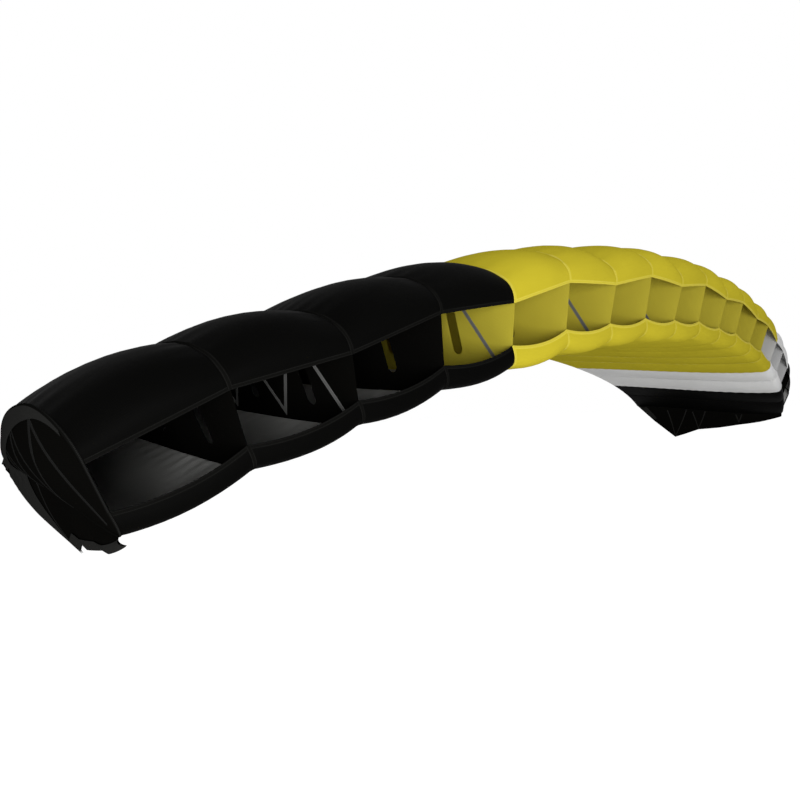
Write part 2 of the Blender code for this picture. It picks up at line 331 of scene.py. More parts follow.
def start_material(name, roughness, gloss):
    """A new material, its tree and its shader."""
    made = bpy.data.materials.new(name)
    made.use_nodes = True
    tree = made.node_tree
    shader = tree.nodes["Principled BSDF"]
    shader.inputs["Roughness"].default_value = roughness
    shader.inputs["Specular IOR Level"].default_value = gloss
    return made, tree, shader


def uv_parts(tree):
    """The two numbers of the UV: across the cloth and along it."""
    parts = node(tree, "ShaderNodeSeparateXYZ")
    place_on_cloth = node(tree, "ShaderNodeUVMap", uv_map="cloth")
    tree.links.new(place_on_cloth.outputs["UV"], parts.inputs[0])
    return parts.outputs["X"], parts.outputs["Y"]


def soft_noise(tree, scale, detail):
    """Noise in the piece's own metres."""
    spot = node(tree, "ShaderNodeTexCoord")
    made = node(tree, "ShaderNodeTexNoise")
    made.inputs["Scale"].default_value = scale
    made.inputs["Detail"].default_value = detail
    tree.links.new(spot.outputs["Object"], made.inputs["Vector"])
    return made.outputs["Fac"]


def bumps(tree, layers):
    """A chain of Bump nodes from (height socket, depth in metres, strength)."""
    before = None
    for height, depth, strength in layers:
        made = node(tree, "ShaderNodeBump")
        made.inputs["Distance"].default_value = depth
        made.inputs["Strength"].default_value = strength
        tree.links.new(height, made.inputs["Height"])
        if before is not None:
            tree.links.new(before, made.inputs["Normal"])
        before = made.outputs["Normal"]
    return before


def ripstop(name, colour, thread, gloss, roughness, glow):
    """Woven nylon. thread is the colour of the grid, glow the share of light that passes through."""
    made, tree, shader = start_material(name, roughness, gloss)
    lines = [ramp_of(tree, zigzag(tree, part, GRID), 1.0, 0.0, *THREAD_SIDE) for part in uv_parts(tree)]
    grid = maths(tree, "MAXIMUM", *lines)
    shade = ramp_of(tree, soft_noise(tree, *SHADE), 0.0, 1.0, *SHADE_RANGE)
    darker = tuple(c * SHADE_DARK for c in colour)
    plain = mix_colour(tree, shade, darker, colour)
    woven = mix_colour(tree, maths(tree, "MULTIPLY", grid, THREAD_SHARE), plain, thread)
    tree.links.new(woven, shader.inputs["Base Color"])
    normal = bumps(tree, [(soft_noise(tree, *CREASE), *CREASE_BUMP), (grid, *THREAD_BUMP)])
    tree.links.new(normal, shader.inputs["Normal"])
    if glow:
        through = node(tree, "ShaderNodeBsdfTranslucent")
        both = node(tree, "ShaderNodeMixShader")
        both.inputs["Fac"].default_value = glow
        tree.links.new(woven, through.inputs["Color"])
        tree.links.new(normal, through.inputs["Normal"])
        tree.links.new(shader.outputs[0], both.inputs[1])
        tree.links.new(through.outputs[0], both.inputs[2])
        tree.links.new(both.outputs[0], tree.nodes["Material Output"].inputs["Surface"])
    return made


OUTSIDE = {
    "black": ripstop("black ripstop", (0.0013, 0.0013, 0.0012), (0.0030, 0.0030, 0.0028), 0.006, 0.5, 0.0),
    "yellow": ripstop("yellow ripstop", (0.41, 0.342, 0.0200), (0.48, 0.40, 0.034), 0.0, 0.55, 0.12),
    "white": ripstop("white ripstop", (0.60, 0.60, 0.60), (0.66, 0.66, 0.66), 0.02, 0.5, 0.12),
}
# The linings are paler than the outside, the black and yellow ones much paler: painted light for the shaded
# inside of the cells.
LINING_PAINTED_LIGHTER = {
    "black": ripstop("black lining painted lighter", (0.31, 0.31, 0.30), (0.36, 0.36, 0.35), 0.05, 0.6, 0.0),
    "yellow": ripstop("yellow lining painted lighter", (0.80, 0.68, 0.072), (0.84, 0.73, 0.10), 0.05, 0.6, 0.10),
    "white": ripstop("white lining painted lighter", (0.62, 0.62, 0.62), (0.68, 0.68, 0.68), 0.15, 0.6, 0.12),
}
RIB_CLOTH = {
    "black": ripstop("black rib cloth", (0.0024, 0.0023, 0.0020), (0.0048, 0.0047, 0.0042), 0.0, 0.7, 0.0),
    "yellow": ripstop("yellow rib cloth", (0.44, 0.37, 0.032), (0.50, 0.43, 0.055), 0.12, 0.62, 0.14),
    "white": ripstop("white rib cloth", (0.50, 0.50, 0.50), (0.56, 0.56, 0.56), 0.12, 0.62, 0.12),
}


# %% [markdown]
# Tape is narrow webbing. Its threads run in a herringbone across the width, and a line of stitches runs
# just inside each edge. The same recipe, in other colours, serves the seam strips, the hems, the bindings
# and the facings. The UV's first number is the distance across, from 0 in the middle.

# %% Tape, seam and thread finishes
WEAVE_STEP = 0.0022
WEAVE_SIDE = (0.1, 0.4)  # from the bottom of the weave to its top, as shares of a step
WEAVE_DARK = 0.82
WEAVE_BUMP = (0.0003, 0.5)  # depth in metres and strength
STITCH_INSET = 0.0018
STITCH_SIDE = (0.0003, 0.0007)  # from a stitch's full half width to nothing
STITCH_STEP = 0.004
STITCH_END = (0.10, 0.16)  # from the gap between two stitches to a full stitch, as shares of a step
STITCH_BUMP = (0.0005, 0.6)
TAPE_ROUGHNESS = 0.6


def webbing(name, colour, thread, half_width, gloss=0.12):
    """Herringbone tape with a row of stitches STITCH_INSET inside each edge."""
    made, tree, shader = start_material(name, TAPE_ROUGHNESS, gloss)
    across, along = uv_parts(tree)
    reach = maths(tree, "ABSOLUTE", across)
    weave = zigzag(tree, maths(tree, "ADD", along, reach), WEAVE_STEP)
    off_stitch = maths(tree, "ABSOLUTE", maths(tree, "SUBTRACT", reach, half_width - STITCH_INSET))
    row = ramp_of(tree, off_stitch, 1.0, 0.0, *STITCH_SIDE)
    dash = ramp_of(tree, zigzag(tree, along, STITCH_STEP), 0.0, 1.0, *STITCH_END)
    stitch = maths(tree, "MULTIPLY", row, dash)
    darker = tuple(c * WEAVE_DARK for c in colour)
    base = mix_colour(tree, ramp_of(tree, weave, 0.0, 1.0, *WEAVE_SIDE), darker, colour)
    sewn = mix_colour(tree, stitch, base, thread)
    tree.links.new(sewn, shader.inputs["Base Color"])
    normal = bumps(tree, [(weave, *WEAVE_BUMP), (stitch, *STITCH_BUMP)])
    tree.links.new(normal, shader.inputs["Normal"])
    return made


TAPE_WIDTH = 0.016
FOOT_TAPE_WIDTH = 0.012
FACING_STITCH = 0.030  # half the width its two rows of stitches are set for
SEAM_WIDTH = 0.012
TAPE_CLOTH = webbing("grey tape", (0.115, 0.115, 0.112), (0.19, 0.19, 0.185), TAPE_WIDTH / 2)
FOOT_TAPE_CLOTH = webbing("narrow grey tape", (0.014, 0.014, 0.0135), (0.024, 0.024, 0.0235),
                          FOOT_TAPE_WIDTH / 2, 0.0)
FACING_CLOTH = webbing("charcoal facing", (0.0150, 0.0150, 0.0143), (0.026, 0.026, 0.025), FACING_STITCH, 0.0)
TIP_TAPE_CLOTH = webbing("dark grey tape", (0.0100, 0.0100, 0.0097), (0.018, 0.018, 0.0175),
                         TAPE_WIDTH / 2, 0.0)
SEAM_CLOTH = {
    "black": webbing("black seam", (0.0034, 0.0034, 0.0031), (0.010, 0.010, 0.0095), SEAM_WIDTH / 2, 0.0),
    "yellow": webbing("yellow seam", (0.44, 0.37, 0.030), (0.58, 0.50, 0.09), SEAM_WIDTH / 2, 0.05),
    "white": webbing("white seam", (0.58, 0.58, 0.58), (0.72, 0.72, 0.72), SEAM_WIDTH / 2, 0.05),
}

# %% [markdown]
# The seams are made before the skins. Panels and rib are sewn together in one thick ridge. It is a strip
# laid along the same surface function, a little proud of it, so it follows every pucker.

# %% Seam strips, top and bottom
def rows(nose, rear, end=2.0, crowding=1.0):
    """Values of t: nose of them from 0 to 1, crowded towards the lip by a power, and rear from 1 to end."""
    return np.concatenate((np.linspace(0, 1, nose)[:-1] ** crowding, np.linspace(1, end, rear)))


ROWS = {"top": rows(52, 150, crowding=1.15), "bottom": rows(20, 156)}
SEAM_LIFT = 0.0009
SEAM_RIDGE = 0.0009  # how much higher the middle of a strip is than its sides
SEAM_THICK = 0.0010
SEAM_SIDES = np.linspace(-1, 1, 7)[:, None]
WHITE_RIB = RIBS - 2  # between the white cell and the last black one


def rib_colour(rib):
    """The colour of the cell that starts at the rib or goes over it."""
    return "white" if rib == WHITE_RIB else CELL_COLOURS[rib // 2]


def run_along(path):
    """Distance along a path to each of its points."""
    return np.cumsum(np.linalg.norm(np.diff(path, axis=0, prepend=path[:1]), axis=-1))


def seam_grid(edge, rib):
    """Lines along the seam, from one side of it to the other, raised most in the middle."""
    ribs = rib + SEAM_SIDES * SEAM_WIDTH / 2 / HALF_CELL
    surface = skin_points(edge, ribs, ROWS[edge][None, :])
    _, normal = rib_line(edge, np.full_like(ribs, rib), ROWS[edge][None, :])
    back, up = normal[..., 0], normal[..., 1]
    angle, _, _ = place(rib)
    outward = np.stack((up * np.sin(angle), back, up * np.cos(angle)), axis=-1)
    return surface + outward * (SEAM_LIFT + SEAM_RIDGE * (1 - SEAM_SIDES**2))[..., None]


def seam_strip(edge, rib):
    """One strip over the seam of a rib."""
    grid = seam_grid(edge, rib)
    along = run_along(grid[len(grid) // 2])
    uv = np.stack(np.broadcast_arrays(SEAM_SIDES * SEAM_WIDTH / 2, along[None, :]), axis=-1)
    colour = rib_colour(rib)
    name = f"{edge}_seam_{rib:02d}"
    made = sheet_from_grid(name, grid, SEAM_THICK, [SEAM_CLOTH[colour]], edge == "top", uv)
    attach(made, "root")
    return made


inner_ribs = range(1, RIBS)
SEAMS = {edge: {rib: seam_strip(edge, rib) for rib in inner_ribs} for edge in ("top", "bottom")}
print("seam strips:", sum(len(strips) for strips in SEAMS.values()))


# %% [markdown]
# The lips of the inlets and the tail are hemmed: the cloth is turned in on itself and sewn, so the edge is
# twice as thick and a little stiff. A hem is a flattened tube that runs along the edge and wraps it.

# %% Hems
HEM_WIDTH = 0.014
HEM_THICK = {"lip": 0.0024, "tail": 0.0042}
HEM_STOPS = {"lip": (0.0, 0.02, 0.06), "tail": (2.0, 1.99, 1.96)}  # t at the edge and at two places inside it
HEM_RINGS = 57
HEM_OVERHANG = 0.001  # how far a hem stands past the edge that it wraps
AROUND = np.linspace(0, 2 * np.pi, 13)[:-1]


def closed_tube(name, rings, ends, half_width, length, material, turned=False):
    """A tube over rings of points, shut at both ends by a fan round a middle point. The UV is the distance
    across the tube and the length along it. turned winds its faces the other way."""
    n, m, _ = rings.shape
    points = np.vstack((rings.reshape(-1, 3), ends[:1], ends[-1:]))
    spot = np.arange(n * m).reshape(n, m)
    beside = np.roll(spot, -1, axis=1)
    sides = np.stack((spot[:-1], beside[:-1], beside[1:], spot[1:]), axis=-1).reshape(-1, 4)
    before, after = beside, spot
    if turned:
        sides = sides[:, ::-1]
        before, after = spot, beside
    caps = [(n * m, int(a), int(b)) for a, b in zip(before[0], after[0])]
    caps += [(n * m + 1, int(b), int(a)) for a, b in zip(before[-1], after[-1])]
    across = np.cos(AROUND)[None, :] * half_width
    uv = np.stack(np.broadcast_arrays(across, length[:, None]), axis=-1).reshape(-1, 2)
    uv = np.vstack((uv, (0.0, 0.0), (0.0, length[-1])))
    return new_piece(name, points, sides.tolist() + caps, uv, [material])


def hem(name, edge, first, end, colour):
    """An ellipse carried along the edge: HEM_WIDTH across the cloth, HEM_THICK through it."""
    ribs = np.linspace(first, first + 2, HEM_RINGS)[:, None]
    stops = np.array(HEM_STOPS[end])[None, :]
    probe = skin_points(edge, ribs, stops)
    if end == "tail":
        probe = (probe + skin_points("bottom", ribs, stops)) / 2
    start = probe[:, 0]
    inward = probe[:, -1] - start
    inward /= np.linalg.norm(inward, axis=-1, keepdims=True)
    up = np.cross(np.gradient(start, axis=0), inward)
    up /= np.linalg.norm(up, axis=-1, keepdims=True)
    centre = start + inward * (HEM_WIDTH / 2 - HEM_OVERHANG)
    across = np.cos(AROUND)[None, :, None] * HEM_WIDTH / 2 * inward[:, None]
    through = np.sin(AROUND)[None, :, None] * HEM_THICK[end] / 2 * up[:, None]
    rings = centre[:, None] + across + through
    made = closed_tube(name, rings, centre, HEM_WIDTH / 2, run_along(start), SEAM_CLOTH[colour])
    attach(made, "root")
    return made


for cell, colour in enumerate(CELL_COLOURS):
    hem(f"upper_lip_hem_{cell + 1}", "top", 2 * cell, "lip", colour)
    hem(f"tail_hem_{cell + 1}", "top", 2 * cell, "tail", colour)
    hem(f"lower_lip_hem_{cell + 1}", "bottom", 2 * cell, "lip", colour)

# %% [markdown]
# A cell's top or bottom is one cut of cloth over two lobes. Its columns crowd towards the ribs, where the
# puckers are.

# %% The skins
LOBE_COLUMNS = 15
JUST_SHORT = 1e-6  # keeps a panel's last column on its own side of the seam


def lobe_columns(first):
    """Two lobes of columns, spaced as a cosine, so that they are close together at the seams."""
    part = (1 - np.cos(np.linspace(0, np.pi, LOBE_COLUMNS))) / 2
    return first + np.concatenate((part[:-1], 1 + part))


for cell, colour in enumerate(CELL_COLOURS):
    for edge in ("top", "bottom"):
        columns = lobe_columns(2 * cell)
        columns[-1] -= JUST_SHORT
        middle = skin_points(edge, columns[:, None], ROWS[edge][None, :])
        name = f"{edge}_cloth_{cell + 1}"
        made = sheet_from_grid(name, middle, CLOTH, [OUTSIDE[colour], LINING_PAINTED_LIGHTER[colour]], edge == "bottom")
        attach(made, "root")
        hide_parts(f"{edge}_skin_{cell + 1}")
        declare(middle)
print("skins:", 2 * CELLS, "of", LOBE_COLUMNS * 2 - 1, "columns")

# %% [markdown]
# A rib is a flat cut of cloth that gives the wing its section. Rounded ports let the air pass from cell to
# cell. The outline is fine enough to be smooth and the holes are cut by the triangulation itself,
# which is safer than a Boolean on cloth this thin.

# %% Ribs with their ports
# each port's share of the chord, its width, and its share of the rib's height there
PORTS = ((0.157, 0.050, 0.50), (0.390, 0.048, 0.42), (0.620, 0.042, 0.36))
PORT_LEVEL = 0.42
SHORTEST_PORT = 1.3  # height over width
PORT_STEPS = 15
RIB_INSET = 0.0010
RIB_END = 1.985  # the t where a rib stops, just before the tail
RIB_ROWS = {"top": rows(30, 50, RIB_END), "bottom": rows(12, 50, RIB_END)}


def rib_edges(rib, inset):
    """The two edges of a rib, inset metres inside the seams."""
    return [line - normal * inset for line, normal in
            (rib_line(edge, np.array(float(rib)), RIB_ROWS[edge]) for edge in ("top", "bottom"))]


def height_at(line, back):
    """Height of a line at a distance back, read behind its foremost point."""
    after = line[np.argmin(line[:, 0]):]
    return np.interp(back, after[:, 0], after[:, 1])


def port_ring(back, level, width, height):
    """An upright slot with half-round ends."""
    radius = width / 2
    reach = height / 2 - radius
    turn = np.linspace(0, np.pi, PORT_STEPS)
    top = np.stack((back + radius * np.cos(turn), level + reach + radius * np.sin(turn)), axis=1)
    return np.vstack((top, np.stack((2 * back, 2 * level)) - top))


def flat_plate(name, rib, rings, thick, materials):
    """A flat sheet in a rib's plane. The first ring is its outline and the others are holes."""
    flat = np.vstack(rings)
    caps = np.array(tessellate_polygon([[(y, z, 0.0) for y, z in ring] for ring in rings]))
    a, b, c = (flat[caps[:, k]] for k in range(3))
    turned = (b[:, 0] - a[:, 0]) * (c[:, 1] - a[:, 1]) - (b[:, 1] - a[:, 1]) * (c[:, 0] - a[:, 0]) < 0
    caps[turned] = caps[turned][:, ::-1]
    count = len(flat)
    points = np.vstack((stand(rib, flat, thick / 2), stand(rib, flat, -thick / 2)))
    faces = caps.tolist() + (caps[:, ::-1] + count).tolist()
    start = 0
    for k, ring in enumerate(rings):
        here = start + np.arange(len(ring))
        after = np.roll(here, -1)
        y, z = np.asarray(ring).T
        anticlockwise = (y * np.roll(z, -1) - z * np.roll(y, -1)).sum() > 0
        if anticlockwise != (k == 0):
            here, after = after, here
        faces += np.stack((after, here, here + count, after + count), axis=-1).tolist()
        start += len(ring)
    return new_piece(name, points, faces, np.vstack((flat, flat)), materials)


def declare_flat(ring):
    """A flat cut's size is its box, and its area the polygon's, by the shoelace formula."""
    y, z = np.asarray(ring).T
    size = (float(z.max() - z.min()), float(y.max() - y.min()))
    area = float(abs((y * np.roll(z, -1) - z * np.roll(y, -1)).sum()) / 2)
    area = within_box(area, *size)


def rib_rings(rib):
    """The rib's outline, then its ports."""
    top, bottom = rib_edges(rib, RIB_INSET)
    rings = [np.vstack((top, bottom[::-1]))]
    chord = CHORD * float(place(rib)[2])
    for share, width, part in PORTS:
        low = height_at(bottom, share * chord)
        tall = height_at(top, share * chord) - low
        height = max(tall * part, width * SHORTEST_PORT)
        rings.append(port_ring(share * chord, low + tall * PORT_LEVEL, width, height))
    return rings


for rib in inner_ribs:
    rings = rib_rings(rib)
    made = flat_plate(f"rib_cloth_{rib:02d}", rib, rings, CLOTH, [RIB_CLOTH[rib_colour(rib)]])
    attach(made, "root")
    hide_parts(f"rib_{rib:02d}")
    declare_flat(rings[0])
print("ribs:", len(inner_ribs), "with", len(PORTS), "ports each")

# %% [markdown]
# Tapes spread the pull of the lines from the bottom seam up into the rib, in a zigzag of long triangles.
# Each is one strip of webbing, carried along a bent path with its corners mitred.

# %% Tapes on the ribs
TAPE_PATH = ((0.05, "bottom"), (0.157, "top"), (0.28, "bottom"), (0.39, "top"),
             (0.51, "bottom"), (0.62, "top"), (0.74, "bottom"))
TAPE_MARGIN = 0.030
TAPE_GAP = 0.0003  # between a rib and its tape
TAPE_STEP = 0.03
STRIP_LINES = 5  # lines of points across a tape or a facing
STEEPEST_MITRE = 2.0


def mitres(path):
    """At each bend the sum of the two normals, stretched to keep the width, up to a limit."""
    along = np.diff(path, axis=0)
    normals = np.stack((-along[:, 1], along[:, 0]), axis=1) / np.linalg.norm(along, axis=1, keepdims=True)
    joined = np.vstack((normals[:1], normals[:-1] + normals[1:], normals[-1:]))
    joined[1:-1] *= (2 / (joined[1:-1] ** 2).sum(axis=1))[:, None]
    return joined * np.minimum(1, STEEPEST_MITRE / np.linalg.norm(joined, axis=1, keepdims=True))


def tape_grid(path, width):
    """(back, up) points of a tape, STRIP_LINES across, and their UVs: its bends joined by straight runs."""
    bends = mitres(path)
    run = np.linalg.norm(np.diff(path, axis=0), axis=1)
    stops = np.concatenate(([0], np.cumsum(run)))
    along = np.unique(np.concatenate((stops, np.arange(0, stops[-1], TAPE_STEP))))
    centre = np.stack([np.interp(along, stops, path[:, k]) for k in (0, 1)], axis=-1)
    aside = np.stack([np.interp(along, stops, bends[:, k]) for k in (0, 1)], axis=-1)
    side = np.linspace(-1, 1, STRIP_LINES)[:, None, None] * width / 2
    uv = np.stack(np.broadcast_arrays(side[..., 0], along[None, :]), axis=-1)
    return centre[None] + side * aside[None], uv


def tape_path(rib):
    """The zigzag's corners as (back, up), TAPE_MARGIN inside the rib's edges."""
    top, bottom = rib_edges(rib, TAPE_MARGIN)
    backs = np.array([share for share, _ in TAPE_PATH]) * CHORD * float(place(rib)[2])
    return np.array([(back, height_at(top if edge == "top" else bottom, back))
                     for back, (_, edge) in zip(backs, TAPE_PATH)])


def off_plane(rib, side=1.0):
    """The direction square to a rib's plane, towards +X for a side of 1."""
    return stand(rib, np.zeros(2), side) - stand(rib, np.zeros(2))


def turned_to(middle, across):
    """1 or -1: which way a grid's own normals point against a direction."""
    own = np.cross(np.gradient(middle, axis=0), np.gradient(middle, axis=1))
    return np.sign((own * across).sum())


def lay_tape(name, nodes, rib, path, width, material, out):
    """A tape standing out metres off the rib's plane. out is a number, or a function of (back, up)."""
    flat, uv = tape_grid(path, width)
    off = out(flat) if callable(out) else np.full(flat.shape[:2], out)
    middle = stand(rib, flat, off)
    across = np.broadcast_to(off_plane(rib), middle.shape)
    made = sheet_from_grid(name, middle, TAPE_THICK, [material], uv=uv,
                           normal=across * turned_to(middle, across))
    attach(made, "root")
    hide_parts(*nodes)
    declare(middle)


for rib in range(2, RIBS, 2):
    lay_tape(f"rib_tape_{rib:02d}", [f"tape_{rib:02d}"], rib, tape_path(rib), TAPE_WIDTH, TAPE_CLOTH,
             -(CLOTH + TAPE_THICK) / 2 - TAPE_GAP)
print("tapes on ribs:", RIBS // 2 - 1)

# %% [markdown]
# The two tips are shut by an end rib, which the air inside bows outwards, and below it hangs a
# stabiliser, a panel with the end lines pulling at its corners. Both are ruled surfaces between two
# edges, and one function says how far any point of them stands outboard, so that the tapes and the
# facing laid on them follow.

# %% The bow of a tip
STABILISER = np.array(((0.010, -0.122), (0.510, -0.205), (1.030, -0.292), (1.340, -0.408), (1.700, -0.140)))
RIB_BOW = 0.042
BOW_RISE = 5  # the bow of the end rib is full from a fifth of the way back
HANG_BOW = 0.010
REAR_BOW = 0.014  # the extra bow at REAR_PLACE, fading within REAR_REACH
REAR_PLACE = 1.55
REAR_REACH = 0.32
LEAST_DEPTH = 0.01
FOOT_SAG = 0.020  # how far the front of the foot hangs below the line through its corners
SAG_POWER = 0.75  # under 1, so the foot hangs lowest ahead of the middle
FOOT_BOW = np.array(((0.0, 0.0), (0.26, 0.016), (0.51, 0.004), (0.77, 0.018), (1.03, 0.006), (1.20, 0.008),
                     (1.34, 0.0), (1.55, 0.026), (1.70, 0.036), (2.0, TIP_FLARE)))
TIP_SCALE = float(place(0)[2])
FINE = np.linspace(0, 2, 240)
TIP_LINES = {edge: rib_line(edge, np.array(0.0), FINE)[0] for edge in ("top", "bottom")}


def foot_height(back):
    """Height of the hanging panel's lower edge: straight between its corners, less half a sine wave from the
    first corner to the third."""
    corners = np.vstack((STABILISER, TAIL)) * TIP_SCALE
    way = np.clip((back - corners[0, 0]) / (corners[2, 0] - corners[0, 0]), 0, 1)
    return np.interp(back, corners[:, 0], corners[:, 1]) - FOOT_SAG * np.sin(np.pi * way**SAG_POWER)


def tip_bow(flat):
    """How far outboard: on the end rib an arch from bottom seam to top seam, and below it a blend from the
    seam's lean to the foot's, with an arch between them that is strongest at the rear."""
    back, up = flat[..., 0], flat[..., 1]
    share = np.clip(back / (CHORD * TIP_SCALE), 0, 1)
    lean = TIP_FLARE * (back / CHORD) ** 2
    low, high = height_at(TIP_LINES["bottom"], back), height_at(TIP_LINES["top"], back)
    level = np.clip((up - low) / np.maximum(high - low, LEAST_DEPTH), 0, 1)
    arch = RIB_BOW * 4 * level * (1 - level) * np.minimum(1, BOW_RISE * share) * (1 - share**4)
    drop = np.clip((low - up) / np.maximum(low - foot_height(back), LEAST_DEPTH), 0, 1)
    foot = np.interp(back / TIP_SCALE, FOOT_BOW[:, 0], FOOT_BOW[:, 1])
    rear = REAR_BOW * np.exp(-(((back / TIP_SCALE - REAR_PLACE) / REAR_REACH) ** 2))
    hang = 4 * drop * (1 - drop) * (HANG_BOW + rear)
    return np.where(up >= low, lean + arch, lean * (1 - drop) + foot * drop + hang)


def side_of(rib):
    """The way out along X: -1 at the first tip, 1 at the last."""
    return -1.0 if rib == 0 else 1.0


def outboard(rib, layer):
    """The bow of a tip as a distance towards +X, layer metres further out than the cloth's middle."""
    return lambda flat: side_of(rib) * (tip_bow(flat) + layer)


def ruled(lower, upper, count):
    """A grid of straight rulings from one edge to the other."""
    share = np.linspace(0, 1, count)[:, None, None]
    return lower[None] * (1 - share) + upper[None] * share


def tip_sheet(name, rib, flat, thick, materials, layer=0.0, uv=None):
    """A grid of (back, up) points laid on the bow of a tip."""
    middle = stand(rib, flat, outboard(rib, layer)(flat))
    flip = turned_to(middle, off_plane(rib, side_of(rib))) < 0
    made = sheet_from_grid(name, middle, thick, materials, flip=flip, uv=flat if uv is None else uv)
    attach(made, "root")
    return made, middle


# %% End ribs and stabilisers
RULING_STEP = 0.0003
END_RULINGS, END_ROWS = 120, 25
END_CROWDING = 1.1
END_STOP = 1.995  # the t of the last ruling
PANEL_RULINGS, PANEL_ROWS = 150, 17
PANEL_TAIL_GAP = 0.004
PANEL_SEAM_GAP = 0.0012
LEAST_DROP = 0.0005


def end_rib_grid():
    """Rulings from the bottom seam to the top seam, each at the same share of the way to the tail. The first
    ones would lean out of the mouth, so each point is kept a little further back than the front edge, and
    each ruling further than the one before it."""
    way = np.linspace(0, 1, END_RULINGS) ** END_CROWDING
    edges = []
    for edge in ("bottom", "top"):
        t = np.interp(way, to_tail(edge, FINE), FINE)
        t[-1] = END_STOP
        line, normal = rib_line(edge, np.array(0.0), t)
        edges.append(line - normal * RIB_INSET)
    flat = ruled(edges[0], edges[1], END_ROWS)
    below, above = (line[:np.argmin(line[:, 0]) + 1] for line in (TIP_LINES["bottom"], TIP_LINES["top"]))
    front = np.vstack((below[::-1], above))
    level = np.linspace(0, 1, END_ROWS)[:, None]
    mouth = np.interp(flat[..., 1], front[:, 1], front[:, 0])
    held = mouth + 4 * level * (1 - level) * RULING_STEP * np.arange(END_RULINGS)
    flat[..., 0] = np.maximum(flat[..., 0], held)
    return flat


def stabiliser_grid():
    """Upright rulings from the foot to the bottom seam, from just behind the lip to the tail."""
    back = np.linspace(STABILISER[0, 0], CHORD - PANEL_TAIL_GAP, PANEL_RULINGS) * TIP_SCALE
    seam = height_at(TIP_LINES["bottom"], back) - PANEL_SEAM_GAP
    foot = np.minimum(foot_height(back), seam - LEAST_DROP)
    return ruled(np.stack((back, foot), axis=-1), np.stack((back, seam), axis=-1), PANEL_ROWS)


for rib in (0, RIBS):
    made, middle = tip_sheet(f"end_rib_cloth_{rib:02d}", rib, end_rib_grid(), CLOTH,
                             [RIB_CLOTH["black"], LINING_PAINTED_LIGHTER["black"]])
    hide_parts(f"rib_{rib:02d}")
    declare(middle)
    made, middle = tip_sheet(f"stabiliser_cloth_{rib:02d}", rib, stabiliser_grid(), CLOTH,
                             [RIB_CLOTH["black"], RIB_CLOTH["black"]])
    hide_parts(f"stabiliser_{rib:02d}")
    declare(middle)
print("tips closed")

# %% [markdown]
# The end rib, the skins and the stabiliser meet in one seam at each tip. It is bound with a narrow folded
# strip, made here as a thin tube carried along the seam, which also closes the mouth's outer edge.

# %% Bindings round the tips
BINDING = 0.0042
NEARLY_SIDEWAYS = (1.0, 0.02, 0.01)  # never in line with the path, which runs in a rib's plane
MOUTH_STEPS = 14


def tip_binding(name, path, radius, material):
    """A closed tube: at each point of the path a ring of twelve, square to the path."""
    along = np.gradient(path, axis=0)
    along /= np.linalg.norm(along, axis=1, keepdims=True)
    first = np.cross(along, np.array(NEARLY_SIDEWAYS))
    first /= np.linalg.norm(first, axis=1, keepdims=True)
    second = np.cross(along, first)
    across = np.cos(AROUND)[None, :, None] * first[:, None]
    through = np.sin(AROUND)[None, :, None] * second[:, None]
    rings = path[:, None] + radius * (across + through)
    made = closed_tube(name, rings, path, radius, run_along(path), material, turned=True)
    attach(made, "root")


for rib in (0, RIBS):
    mouth = ruled(TIP_LINES["top"][:1], TIP_LINES["bottom"][:1], MOUTH_STEPS)[1:-1, 0]
    outline = np.vstack((TIP_LINES["top"][::-1], mouth, TIP_LINES["bottom"]))
    path = stand(rib, outline, outboard(rib, 0.0)(outline))
    tip_binding(f"tip_binding_{rib:02d}", path, BINDING, SEAM_CLOTH["black"])
print("tips bound")

# %% [markdown]
# On the tips the zigzag tape lies outside, and its last arm runs down to the corner where the end line
# pulls. Short tapes in a V gather the hanging panel at the other corners, and a charcoal facing
# stiffens the edge. It is three bands, each trimmed to the outline of the tip.

# %% Tapes and facing of the tips
TIP_TAPE_END = (-TAPE_MARGIN / 3, TAPE_MARGIN)  # from the panel's fourth corner to the tape's end
FOOT_TAPE_MARGIN = 0.012
FOOT_TAPE_GAP = 0.0022
FOOT_TAPE_LEAN = (-0.28, 0.42)
FACING_WIDTH = {"front": 0.024, "tail": 0.22, "rear": 0.27, "last": 0.06, "foot": 0.024}
FACING_POWER = {"top": 2.6, "rear": 3}
DOWN_STEPS, FOOT_STEPS = 30, 90
LAYER = (CLOTH + TAPE_THICK) / 2 + 0.0006
FACING_LAYER = 2.2 * LAYER
FACING_STEP = 0.0005  # from one band out to the next


def tip_tape_path():
    """The zigzag of a rib, with its last arm carried down to the panel's fourth corner."""
    path = tape_path(0)
    path[-1] = STABILISER[3] * TIP_SCALE + np.array(TIP_TAPE_END)
    return path


def foot_tape_path(corner):
    """A V as (back, up), from the panel's top seam down to a corner of its foot and up again."""
    foot = corner + np.array((0.0, FOOT_TAPE_MARGIN))
    room = height_at(TIP_LINES["bottom"], corner[0]) - FOOT_TAPE_GAP - FOOT_TAPE_MARGIN - foot[1]
    return np.array([foot + room * np.array((FOOT_TAPE_LEAN[0], 1)), foot,
                     foot + room * np.array((FOOT_TAPE_LEAN[1], 1))])


def band(outer, widths):
    """A strip from an edge inwards, widths metres wide, square to the edge, trimmed to the tip's outline."""
    along = np.gradient(outer, axis=0)
    inward = np.stack((along[:, 1], -along[:, 0]), axis=-1)
    inward /= np.linalg.norm(inward, axis=1, keepdims=True)
    flat = ruled(outer, outer + inward * widths[:, None], STRIP_LINES)
    flat[..., 0] = np.clip(flat[..., 0], None, CHORD * TIP_SCALE)
    top = height_at(TIP_LINES["top"], flat[..., 0])
    flat[..., 1] = np.clip(flat[..., 1], np.minimum(foot_height(flat[..., 0]), top), top)
    side = np.linspace(-1, 1, STRIP_LINES)[:, None] * 0.5 * widths[None, :]
    return flat, np.stack(np.broadcast_arrays(side, run_along(outer)[None, :]), axis=-1)


def widths_between(start, end, count, power):
    """Widths along a band: from start to end as a power of the way along it."""
    return start + (end - start) * np.linspace(0, 1, count) ** power


